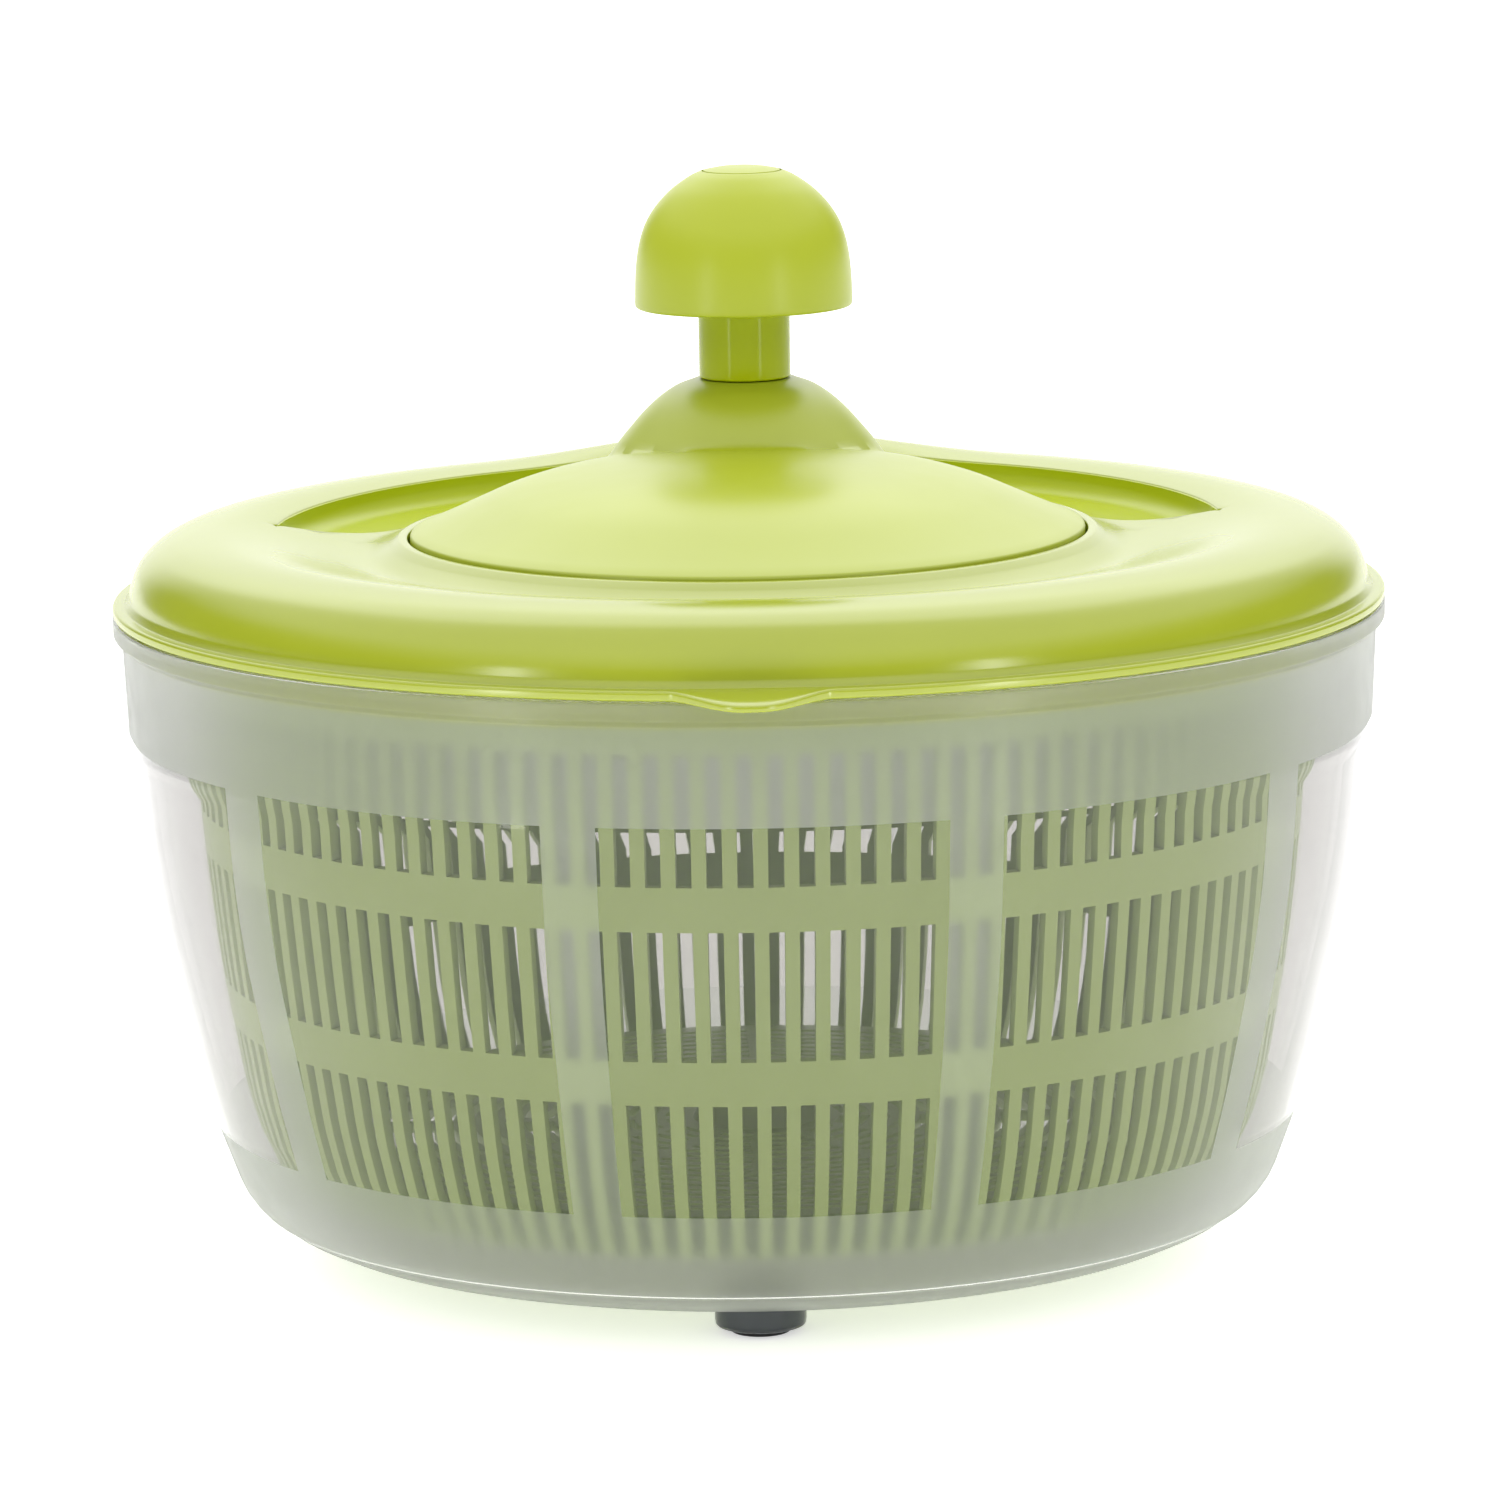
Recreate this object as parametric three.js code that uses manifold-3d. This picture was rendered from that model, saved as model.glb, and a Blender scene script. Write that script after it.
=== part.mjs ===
// Crank-operated salad spinner: a clear bowl on three feet, a slotted basket on a centre pivot, and a lid
// whose crank disc drives the basket through an internal ring gear, three idlers and a sun gear.
// Millimetres, +Z up. Every sub-part is built around the spin axis; the whole group is then moved so that
// the origin lies at the bottom centre of the object's box.

import * as THREE from 'three';
import { mergeVertices } from 'three/addons/utils/BufferGeometryUtils.js';
import Module from 'manifold-3d';

const wasm = await Module();
wasm.setup();

// ---------------------------------------------------------------- driving dimensions

const RIM_RADIUS = 125; // outside of the bowl lip and of the lid flange
const RIM_HEIGHT = 128.6; // top of the bowl lip
const BOWL_BOTTOM = 6.3; // underside of the bowl floor
const BOWL_WALL = 2;
const BOWL_FLOOR = 2.2;

const FOOT_COUNT = 3;
const FOOT_CIRCLE = 75; // distance of each foot from the spin axis
const FOOT_RADIUS = 8.6;
const FOOT_WALL = 1.6;
const FOOT_LOW = 1.3; // lower edge of the foot sleeve
const PAD_RADIUS = 5.8;
const PAD_THICKNESS = 1.2;

const FIT_GAP = 0.3; // clearance between touching pieces

const PIN_RADIUS = 3.5; // pivot pin under the basket
const PIN_TOP = 31;
const PIVOT_BOSS_RADIUS = 9;
const PIVOT_BOSS_TOP = 14;
const BUSH_RADIUS = 6.2;
const BUSH_TOP = 33;
const BUSH_COLLAR_RADIUS = 8; // collar under the basket's hub
const BUSH_COLLAR_LOW = 15;
const BUSH_COLLAR_TOP = 16.3;
const HUB_RADIUS = 9; // basket's hub under its floor

const BASKET_WALL = 2;
const BASKET_TOP = 127;
const BASKET_FLOOR_TOP = 25.6;
const BASKET_FLOOR_LOW = 23.4;
const SLOTS_PER_ROW = 40;
const SLOT_ROWS = [[28, 50.4], [59, 84], [92.5, 118]]; // lower and upper end of each row of slots
const FLOOR_SECTORS = 12;
const FLOOR_SLOT_RADII = [36, 56, 76];
const FLOOR_SLOT_WIDTH = 7;
const FLOOR_SPOKE_WIDTH = 5;

const CLUTCH_LUGS = 6;
const LUG_HALF_WIDTH = 3;
const LUG_LENGTH = 6;
const LUG_RADIUS = 107.2; // outer end of the clutch lugs
const CLUTCH_RIB = 3; // tangential width of the ribs beside each lug
const CLUTCH_RIB_DEPTH = 3.4;
const RIB_LOW = 119;

const LID_THICKNESS = 2.2;
const SKIRT_RADIUS = 120.4; // skirt of the lid, just inside the bowl's lip
const SKIRT_LOW = 124;
const BELOW_LID = 110; // heights clear of the lid and the crank, for cutting through them
const ABOVE_LID = 175;
const FLANGE_TOP = 131.8;
const FLANGE_LOW = 129.9;
const SEAM_HEIGHT = 143.2; // rim of the crank disc and lip of the lid opening
const DISC_RADIUS = 66.4;
const WELL_RADIUS = 66.9; // inside of the lid opening and of the gear well
const WELL_WALL = 2.1;
const WELL_FLOOR_TOP = 128.2;
const WELL_FLOOR_LOW = 126;
const TAB_REACH = 9; // how far the thumb tab stands out of the flange
const TAB_HALF_WIDTH = 15;
const CREST_RADIUS = 104;
const HUMP_HEIGHT = 4.2; // rise of the lid crest behind the disc
const HUMP_HALF_ANGLE = THREE.MathUtils.degToRad(31);
const HUMP_HALF_WIDTH = 15; // radial reach of the rise, either side of the crest

const RECESS_OUTER = 94; // finger recess behind the disc: radius of its outer wall,
const RECESS_SHIFT = 3; // how far that wall's centre lies behind the spin axis,
const RECESS_INNER = 76; // radius of its inner wall
const RECESS_FLOOR = 139;
const RECESS_TIP = 13.5; // both pointed ends lie this far behind the spin axis
const RECESS_SHOULDER = THREE.MathUtils.degToRad(32); // where the inner wall leaves its arc for the tip
const RECESS_STEPS = 20; // straight steps in each of the recess's curves
const RECESS_BELLY = 23; // how far the wall between shoulder and tip bows to the front

const MODULE = 2.25;
const RING_TEETH = 48;
const IDLER_TEETH = 18;
const SUN_TEETH = 12;
const PRESSURE_ANGLE = THREE.MathUtils.degToRad(20);
const TOOTH_THINNING = 0.34; // taken off each tooth's thickness at the pitch circle
const ADDENDUM = 0.8 * MODULE;
const DEDENDUM = 1.15 * MODULE;
const RING_ADDENDUM = 0.7 * MODULE;
const GEAR_LOW = 129.1;
const GEAR_TOP = 136;
const RING_OUTER = 61;
const IDLER_COUNT = 3;
const IDLER_FIRST_ANGLE = THREE.MathUtils.degToRad(30);
const IDLER_PIN_RADIUS = 2.5;
const SUN_HUB_RADIUS = 6.4;
const SUN_BORE = 3.3;
const HUB_SQUARE = 9; // square end of the sun gear's hub
const HUB_SQUARE_HEIGHT = 8;
const IDLER_HEAD_RADIUS = 4.4;
const IDLER_HEAD_THICKNESS = 1.4;
const IDLER_HEAD_BEVEL = 0.5;
const IDLER_PIN_PROUD = 0.6; // how far each idler's pin stands out under the well
const CENTRE_PIN_RADIUS = 3;
const CENTRE_PIN_BELOW = 3.4; // how far the centre pin reaches under the drive plate
const CENTRE_PIN_TOP = 151.5;
const HUB_BUSH_RADIUS = 8; // outside of the hub bush where it passes through the well's floor
const HUB_BUSH_LOW = 125.4;
const HUB_BUSH_FLANGE = 11;
const HUB_BUSH_FLANGE_THICKNESS = 0.5;
const WASHER_RADIUS = 7.4;
const WASHER_THICKNESS = 0.8;
const CIRCLIP_RADIUS = 5.2;

const DRIVE_PLATE_LOW = 119.6;
const DRIVE_PLATE_TOP = 121.8;
const DRIVE_PLATE_RADIUS = 104;
const DRIVE_RIM = 2; // width and height of the raised rim round the drive plate
const VENT_LENGTH = 34;
const VENT_WIDTH = 12;
const VENT_RADIUS = 62; // middle of each vent in the drive plate

const CRANK_ARM = 34; // distance of the knob from the spin axis
const CRANK_SKIN = 2;
const CRANK_LOW = 141; // lower edge of the crank disc
const CRANK_HOLLOW_RADIUS = 61.6;
const CRANK_BOSS_RADIUS = 7;
const CRANK_BOSS_TOP = 156.5;
const HILL_TOP = 168;
const HILL_RADIUS = 32.2;
const HILL_HOLLOW_RADIUS = 27.4;
const SOCKET_LOW = 158.5; // socket under the hill that the knob's post stands in
const SOCKET_TOP = 166.5;
const POST_RADIUS = 9.2;
const POST_SHOULDER = 2.4; // step from the post down to the part that stands in the socket
const POST_LOW = 159;
const POST_TOP = 183;
const POST_BORE = 2.3;
const SPIGOT_RADIUS = 6;
const SPIGOT_TOP = 197.2;
const KNOB_LOW = 183.6;
const KNOB_TOP = 211.6;
const KNOB_RADIUS = 21.8;
const CAP_RADIUS = 7.7;
const CAP_LOW = 208;
const CAP_SEAT = 207.4;
const SCREW_RADIUS = 2;
const SCREW_LOW = 172;
const SCREW_HEAD_RADIUS = 4;
const SCREW_HEAD_THICKNESS = 1.6;
const SCREW_WASHER_THICKNESS = 1;

const ROUND = 40; // sides of the large round pieces
const ROUND_SMALL = 20;

const pitchRadius = (teeth) => (teeth * MODULE) / 2;
const IDLER_CIRCLE = pitchRadius(SUN_TEETH) + pitchRadius(IDLER_TEETH);
const idlerAngle = (index) => IDLER_FIRST_ANGLE + (index * 2 * Math.PI) / IDLER_COUNT;

// ---------------------------------------------------------------- materials

const finish = (color, roughness, metalness = 0) => ({ color, roughness, metalness });
const FINISH = {
  lid: finish(0xb9c84a, 0.5),
  knob: finish(0xb4c53e, 0.45),
  gloss: finish(0x9fb020, 0.2),
  basket: finish(0x8fae4c, 0.35),
  bowl: finish(0xd4dad0, 0.3),
  gear: finish(0xe6e4dc, 0.45),
  steel: finish(0xb4b8bc, 0.3, 1),
  plug: finish(0x4f565e, 0.6),
  rubber: finish(0x17181a, 0.8),
};

// ---------------------------------------------------------------- solids

// Turns a closed geometry into a solid that can be cut and joined.
function solid(geometry) {
  const bare = geometry.clone();
  bare.deleteAttribute('normal');
  bare.deleteAttribute('uv');
  const merged = mergeVertices(bare, 1e-4);
  const corners = merged.index.array;
  const triangles = [];
  for (let i = 0; i < corners.length; i += 3) {
    const [a, b, c] = [corners[i], corners[i + 1], corners[i + 2]];
    if (a !== b && b !== c && c !== a) triangles.push(a, b, c);
  }
  const mesh = new wasm.Mesh({
    numProp: 3,
    vertProperties: new Float32Array(merged.attributes.position.array),
    triVerts: new Uint32Array(triangles),
  });
  return new wasm.Manifold(mesh);
}

function geometryOf(body) {
  const mesh = body.getMesh();
  const geometry = new THREE.BufferGeometry();
  geometry.setAttribute('position', new THREE.BufferAttribute(new Float32Array(mesh.vertProperties), 3));
  geometry.setIndex(new THREE.BufferAttribute(new Uint32Array(mesh.triVerts), 1));
  geometry.computeVertexNormals();
  return geometry;
}

// A turned solid. The outline runs anticlockwise in (radius, height): outwards below, up outside, back in.
function turned(outline, sides = ROUND, shape = null) {
  const points = outline.map(([radius, height]) => new THREE.Vector2(radius, height));
  const geometry = new THREE.LatheGeometry(points, sides);
  geometry.rotateX(Math.PI / 2);
  if (shape) shape(geometry);
  return solid(geometry);
}

function cylinder(radius, low, high, sides = ROUND_SMALL) {
  return turned([[0, low], [radius, low], [radius, high], [0, high]], sides);
}

function tube(inner, outer, low, high, sides = ROUND_SMALL) {
  return turned([[inner, low], [outer, low], [outer, high], [inner, high], [inner, low]], sides);
}

// A box given by its size and centre, turned about the spin axis.
function block(size, centre, angle = 0) {
  const geometry = new THREE.BoxGeometry(...size);
  geometry.translate(...centre);
  geometry.rotateZ(angle);
  return solid(geometry);
}

function extruded(shape, low, high, curveSegments = 12) {
  const geometry = new THREE.ExtrudeGeometry(shape, {
    depth: high - low,
    bevelEnabled: false,
    curveSegments,
  });
  geometry.translate(0, 0, low);
  return solid(geometry);
}

const moved = (body, x, y) => body.translate([x, y, 0]);
const spread = (count, make) => Array.from({ length: count }, (_, index) => make(index));
const join = (bodies) => bodies.reduce((whole, body) => whole.add(body));
const cut = (body, cutters) => cutters.reduce((rest, cutter) => rest.subtract(cutter), body);
const polar = (radius, angle) => [radius * Math.cos(angle), radius * Math.sin(angle)];

const spinner = new THREE.Group();

function addPart(name, body, look, parent = spinner) {
  const mesh = new THREE.Mesh(geometryOf(body), new THREE.MeshStandardMaterial(look));
  mesh.name = name;
  parent.add(mesh);
  return mesh;
}

// ---------------------------------------------------------------- bowl

// Outside of the bowl from the floor's edge up to the lip, with a small ledge above and below the windows.
const BOWL_OUTSIDE = [
  [86, BOWL_BOTTOM], [94, 7], [99.4, 9.8], [103.4, 18], [107.4, 28.6], [107.9, 29.6], [115.2, 58],
  [120.4, 87], [121.9, 105.8], [122.5, 106.8], [123.3, 125], [RIM_RADIUS, 126],
];
const BOWL_INSIDE = [
  [120, 101.3], [118.2, 87], [113.2, 58], [105.4, 28.6], [97.4, 11], [86, BOWL_BOTTOM + BOWL_FLOOR],
];

const footAngle = (index) => -Math.PI / 2 + (index * 2 * Math.PI) / FOOT_COUNT;

function bowlBody() {
  const outline = [
    [0, BOWL_BOTTOM],
    ...BOWL_OUTSIDE,
    [RIM_RADIUS, RIM_HEIGHT],
    [121.3, RIM_HEIGHT],
    ...BOWL_INSIDE,
    [PIVOT_BOSS_RADIUS, BOWL_BOTTOM + BOWL_FLOOR],
    [PIVOT_BOSS_RADIUS - 1, PIVOT_BOSS_TOP],
    [PIN_RADIUS + FIT_GAP, PIVOT_BOSS_TOP],
    [PIN_RADIUS + FIT_GAP, BOWL_BOTTOM + BOWL_FLOOR],
    [0, BOWL_BOTTOM + BOWL_FLOOR],
  ];
  const sleeves = spread(FOOT_COUNT, (index) => {
    const sleeve = turned([
      [FOOT_RADIUS - FOOT_WALL, FOOT_LOW], [FOOT_RADIUS - 0.9, FOOT_LOW],
      [FOOT_RADIUS, FOOT_LOW + 1], [FOOT_RADIUS, BOWL_BOTTOM + 1],
      [FOOT_RADIUS - FOOT_WALL, BOWL_BOTTOM + 1], [FOOT_RADIUS - FOOT_WALL, FOOT_LOW],
    ], ROUND_SMALL);
    return moved(sleeve, ...polar(FOOT_CIRCLE, footAngle(index)));
  });
  return join([turned(outline), ...sleeves]);
}

function addBowl() {
  addPart('bowl', bowlBody(), FINISH.bowl);
  spread(FOOT_COUNT, (index) => {
    const place = polar(FOOT_CIRCLE, footAngle(index));
    const plugRadius = FOOT_RADIUS - FOOT_WALL - FIT_GAP;
    const plug = cylinder(plugRadius, PAD_THICKNESS + FIT_GAP, BOWL_BOTTOM - FIT_GAP, 16);
    const pad = cylinder(PAD_RADIUS, 0, PAD_THICKNESS, 16);
    addPart(`foot_plug_${index + 1}`, moved(plug, ...place), FINISH.plug);
    return addPart(`foot_pad_${index + 1}`, moved(pad, ...place), FINISH.rubber);
  });
  const pinLow = BOWL_BOTTOM + BOWL_FLOOR + FIT_GAP;
  const pin = turned([
    [0, pinLow], [PIN_RADIUS, pinLow], [PIN_RADIUS, PIN_TOP - 2], [PIN_RADIUS - 1, PIN_TOP - 0.5],
    [0, PIN_TOP],
  ], 16);
  addPart('pivot_pin', pin, FINISH.steel);
}

// ---------------------------------------------------------------- basket

const BASKET_OUTSIDE = [
  [95, 18], [98.9, 26], [103.7, 51.2], [105.2, 58.2], [107.8, 84.8], [108.4, 91.7], [110, 118.6],
  [110.3, BASKET_TOP],
];
const lugAngle = (index) => ((index + 0.5) * 2 * Math.PI) / CLUTCH_LUGS;

function basketBody() {
  const inside = BASKET_OUTSIDE.map(([radius, height]) => [radius - BASKET_WALL, height]).reverse();
  const bushHole = BUSH_RADIUS + FIT_GAP;
  const shell = turned([
    [0, BUSH_TOP + 1], [bushHole, BUSH_TOP + 0.4], [bushHole, BUSH_COLLAR_TOP + FIT_GAP],
    [HUB_RADIUS, BUSH_COLLAR_TOP + FIT_GAP], [HUB_RADIUS, BASKET_FLOOR_LOW],
    [88.5, BASKET_FLOOR_LOW], [90.5, 18],
    ...BASKET_OUTSIDE,
    ...inside.slice(0, -1),
    [94, 20], [92, 20], [90.3, BASKET_FLOOR_TOP], [12.5, BASKET_FLOOR_TOP], [9.6, 35], [0, 36.6],
  ]);
  const slotPitch = (2 * Math.PI) / SLOTS_PER_ROW;
  const slotWidth = (slotPitch * 105) / 2;
  const slots = SLOT_ROWS.flatMap(([low, high]) =>
    spread(SLOTS_PER_ROW, (index) =>
      block([20, slotWidth, high - low], [105, 0, (low + high) / 2], (index + 0.5) * slotPitch)));
  const floorSlots = FLOOR_SLOT_RADII.flatMap((radius) => spread(FLOOR_SECTORS, (index) => {
    const length = (2 * Math.PI * radius) / FLOOR_SECTORS - FLOOR_SPOKE_WIDTH;
    const depth = 2 * (BASKET_FLOOR_TOP - BASKET_FLOOR_LOW);
    const angle = ((index + 0.5) * 2 * Math.PI) / FLOOR_SECTORS;
    return block([FLOOR_SLOT_WIDTH, length, depth], [radius, 0, BASKET_FLOOR_TOP - depth / 4], angle);
  }));
  const ribs = spread(CLUTCH_LUGS, (index) => [-1, 1].map((side) => {
    const offset = side * (LUG_HALF_WIDTH + FIT_GAP + CLUTCH_RIB / 2);
    const height = BASKET_TOP - RIB_LOW - 0.5;
    const size = [CLUTCH_RIB_DEPTH, CLUTCH_RIB, height];
    return block(size, [LUG_RADIUS, offset, RIB_LOW + height / 2], lugAngle(index));
  })).flat();
  return join([cut(shell, [...slots, ...floorSlots]), ...ribs]);
}

function addBasket() {
  addPart('basket', basketBody(), FINISH.basket);
  const bore = PIN_RADIUS + FIT_GAP;
  const bush = turned([
    [bore, BUSH_COLLAR_LOW], [BUSH_COLLAR_RADIUS, BUSH_COLLAR_LOW], [BUSH_COLLAR_RADIUS, BUSH_COLLAR_TOP],
    [BUSH_RADIUS, BUSH_COLLAR_TOP], [BUSH_RADIUS, BUSH_TOP], [0, BUSH_TOP], [0, PIN_TOP + FIT_GAP],
    [bore, PIN_TOP + FIT_GAP], [bore, BUSH_COLLAR_LOW],
  ], ROUND_SMALL);
  addPart('pivot_bush', bush, FINISH.gear);
}

// ---------------------------------------------------------------- lid

// Top of the lid from its opening, over the collar, the dish and the crest, down to the flange.
const LID_TOP = [
  [125, FLANGE_TOP], [122.6, FLANGE_TOP], [121.7, 132.6], [121.3, 135.4], [120, 138.5], [118, 140.9],
  [115.2, 142.9], [111, 144.4], [CREST_RADIUS, 145.1], [99, 144.7], [86, 141.7], [76.4, 139.9],
  [73.4, 140.3], [69, 142.8],
];
const LID_HOLLOW_INNER = 139.4; // height of the hollow where it meets the gear well
const LID_HOLLOW = [
  [118.2, BELOW_LID], [118.4, 134], [117.2, 137.4], [114.6, 139.6], [110.6, 141.5], [CREST_RADIUS, 142.7],
  [99, 142.4], [86, 139.4], [76.6, 137.7], [73, 138.1],
];

// Raises the crest behind the disc by a smooth swelling.
function raiseCrest(geometry) {
  const place = geometry.attributes.position;
  for (let i = 0; i < place.count; i += 1) {
    const radius = Math.hypot(place.getX(i), place.getY(i));
    const turn = Math.abs(Math.atan2(place.getX(i), place.getY(i)));
    const across = Math.abs(radius - CREST_RADIUS) / HUMP_HALF_WIDTH;
    if (turn < HUMP_HALF_ANGLE && across < 1) {
      const along = Math.cos((Math.PI / 2) * (turn / HUMP_HALF_ANGLE)) ** 2;
      const rise = HUMP_HEIGHT * along * Math.cos((Math.PI / 2) * across) ** 2;
      place.setZ(i, place.getZ(i) + rise);
    }
  }
}

// Plan of the finger recess: a crescent with two pointed ends, grown on every side by a margin.
function recessShape(margin) {
  const outer = RECESS_OUTER + margin;
  const inner = RECESS_INNER - margin;
  const start = Math.asin((RECESS_TIP - 2 * margin - RECESS_SHIFT) / outer);
  const tip = [outer * Math.cos(start), RECESS_SHIFT + outer * Math.sin(start)];
  const shoulder = polar(inner, RECESS_SHOULDER);
  const belly = [(tip[0] + shoulder[0]) / 2, shoulder[1] - RECESS_BELLY];
  const shape = new THREE.Shape();
  shape.moveTo(...tip);
  shape.absarc(0, RECESS_SHIFT, outer, start, Math.PI - start, false);
  shape.quadraticCurveTo(-belly[0], belly[1], -shoulder[0], shoulder[1]);
  shape.absarc(0, 0, inner, Math.PI - RECESS_SHOULDER, RECESS_SHOULDER, true);
  shape.quadraticCurveTo(...belly, ...tip);
  return shape;
}

function tabShape() {
  const root = RIM_RADIUS - 4;
  const edge = -Math.sqrt(RIM_RADIUS ** 2 - TAB_HALF_WIDTH ** 2);
  const tip = -(RIM_RADIUS + TAB_REACH);
  const shape = new THREE.Shape();
  shape.moveTo(-TAB_HALF_WIDTH, -root * 0.98);
  shape.lineTo(-TAB_HALF_WIDTH, edge);
  shape.bezierCurveTo(-TAB_HALF_WIDTH * 0.55, edge - 1, -TAB_HALF_WIDTH * 0.7, tip, 0, tip);
  shape.bezierCurveTo(TAB_HALF_WIDTH * 0.7, tip, TAB_HALF_WIDTH * 0.55, edge - 1, TAB_HALF_WIDTH, edge);
  shape.lineTo(TAB_HALF_WIDTH, -root * 0.98);
  return shape;
}

function lidBody() {
  const wellOuter = WELL_RADIUS + WELL_WALL;
  const full = turned([
    [0, SKIRT_LOW], [SKIRT_RADIUS, SKIRT_LOW], [SKIRT_RADIUS, FLANGE_LOW], [RIM_RADIUS, FLANGE_LOW],
    ...LID_TOP,
    [WELL_RADIUS, SEAM_HEIGHT], [WELL_RADIUS, WELL_FLOOR_TOP], [0, WELL_FLOOR_TOP],
  ], ROUND, raiseCrest);
  const hollow = turned([
    [wellOuter, BELOW_LID],
    ...LID_HOLLOW,
    [wellOuter, LID_HOLLOW_INNER], [wellOuter, BELOW_LID],
  ], ROUND, raiseCrest);
  const under = cylinder(wellOuter + 1, BELOW_LID, WELL_FLOOR_LOW, ROUND);
  const recess = extruded(recessShape(0), RECESS_FLOOR, ABOVE_LID, RECESS_STEPS);
  const skinLow = RECESS_FLOOR - LID_THICKNESS;
  const recessSkin = extruded(recessShape(LID_THICKNESS), skinLow, ABOVE_LID, RECESS_STEPS);
  const holes = [
    cylinder(HUB_BUSH_RADIUS + FIT_GAP, BELOW_LID, GEAR_TOP),
    ...spread(IDLER_COUNT, (index) => {
      const hole = cylinder(IDLER_PIN_RADIUS + FIT_GAP, BELOW_LID, GEAR_TOP, 12);
      return moved(hole, ...polar(IDLER_CIRCLE, idlerAngle(index)));
    }),
  ];
  const tab = extruded(tabShape(), FLANGE_LOW, FLANGE_TOP, 6);
  const shell = cut(full, [recess, hollow.subtract(recessSkin), under, ...holes]);
  return shell.add(tab);
}

// ---------------------------------------------------------------- gears

const involute = (angle) => Math.tan(angle) - angle;

// Outline of a gear with involute flanks: a tooth is centred on the given angle.
function gearPath(teeth, outer, root, thinning, firstAngle = 0) {
  const pitch = pitchRadius(teeth);
  const base = pitch * Math.cos(PRESSURE_ANGLE);
  const halfTooth = (Math.PI * MODULE / 2 - thinning) / (2 * pitch);
  const halfAngle = (radius) => {
    const pressure = Math.acos(Math.min(1, base / Math.max(radius, base)));
    return halfTooth + involute(PRESSURE_ANGLE) - involute(pressure);
  };
  const flank = [root, pitch, outer];
  const points = spread(teeth, (index) => {
    const middle = firstAngle + (index * 2 * Math.PI) / teeth;
    const rising = flank.map((radius) => polar(radius, middle - halfAngle(radius)));
    const falling = flank.map((radius) => polar(radius, middle + halfAngle(radius))).reverse();
    return [...rising, ...falling];
  }).flat();
  return points.map(([x, y]) => new THREE.Vector2(x, y));
}

function toothedBody(teeth, firstAngle) {
  const pitch = pitchRadius(teeth);
  const path = gearPath(teeth, pitch + ADDENDUM, pitch - DEDENDUM, TOOTH_THINNING, firstAngle);
  return extruded(new THREE.Shape(path), GEAR_LOW, GEAR_TOP);
}

function ringGearBody() {
  const pitch = pitchRadius(RING_TEETH);
  const halfPitch = Math.PI / RING_TEETH;
  const shape = new THREE.Shape();
  shape.absarc(0, 0, RING_OUTER, 0, 2 * Math.PI, false);
  const gap = gearPath(RING_TEETH, pitch + DEDENDUM, pitch - RING_ADDENDUM, -TOOTH_THINNING, halfPitch);
  shape.holes.push(new THREE.Path(gap));
  return extruded(shape, GEAR_LOW, GEAR_TOP, ROUND);
}

function sunGearBody() {
  const hub = join([
    cylinder(SUN_HUB_RADIUS, DRIVE_PLATE_TOP + FIT_GAP, GEAR_LOW + 1),
    block([HUB_SQUARE, HUB_SQUARE, HUB_SQUARE_HEIGHT], [0, 0, DRIVE_PLATE_LOW + HUB_SQUARE_HEIGHT / 2]),
  ]);
  return join([toothedBody(SUN_TEETH, 0), hub]).subtract(cylinder(SUN_BORE, BELOW_LID, ABOVE_LID, 16));
}

function idlerBody(index) {
  const angle = idlerAngle(index);
  const halfPitch = Math.PI / IDLER_TEETH;
  const gear = toothedBody(IDLER_TEETH, angle + halfPitch);
  const bore = cylinder(IDLER_PIN_RADIUS + FIT_GAP, BELOW_LID, ABOVE_LID, 12);
  return moved(gear.subtract(bore), ...polar(IDLER_CIRCLE, angle));
}

function idlerPinBody(index) {
  const low = WELL_FLOOR_LOW - IDLER_PIN_PROUD;
  const headLow = GEAR_TOP + FIT_GAP;
  const headTop = headLow + IDLER_HEAD_THICKNESS;
  const pin = turned([
    [0, low], [IDLER_PIN_RADIUS, low], [IDLER_PIN_RADIUS, headLow], [IDLER_HEAD_RADIUS, headLow],
    [IDLER_HEAD_RADIUS, headTop - IDLER_HEAD_BEVEL], [IDLER_HEAD_RADIUS - IDLER_HEAD_BEVEL, headTop],
    [0, headTop],
  ], 12);
  return moved(pin, ...polar(IDLER_CIRCLE, idlerAngle(index)));
}

function drivePlateBody() {
  const rimTop = DRIVE_PLATE_TOP + DRIVE_RIM;
  const rimInner = DRIVE_PLATE_RADIUS - DRIVE_RIM;
  const plate = turned([
    [0, DRIVE_PLATE_LOW], [DRIVE_PLATE_RADIUS, DRIVE_PLATE_LOW], [DRIVE_PLATE_RADIUS, rimTop],
    [rimInner, rimTop], [rimInner, DRIVE_PLATE_TOP], [0, DRIVE_PLATE_TOP],
  ]);
  const lugs = spread(CLUTCH_LUGS, (index) => {
    const height = rimTop - DRIVE_PLATE_LOW;
    const centre = [LUG_RADIUS - LUG_LENGTH / 2, 0, DRIVE_PLATE_LOW + height / 2];
    return block([LUG_LENGTH, 2 * LUG_HALF_WIDTH, height], centre, lugAngle(index));
  });
  const square = HUB_SQUARE + 2 * FIT_GAP;
  const through = 4 * (rimTop - DRIVE_PLATE_LOW);
  const hole = block([square, square, through], [0, 0, DRIVE_PLATE_LOW]);
  const vents = spread(CLUTCH_LUGS, (index) =>
    block([VENT_LENGTH, VENT_WIDTH, through], [VENT_RADIUS, 0, DRIVE_PLATE_LOW],
      (index * 2 * Math.PI) / CLUTCH_LUGS));
  return cut(join([plate, ...lugs]), [hole, ...vents]);
}

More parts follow.
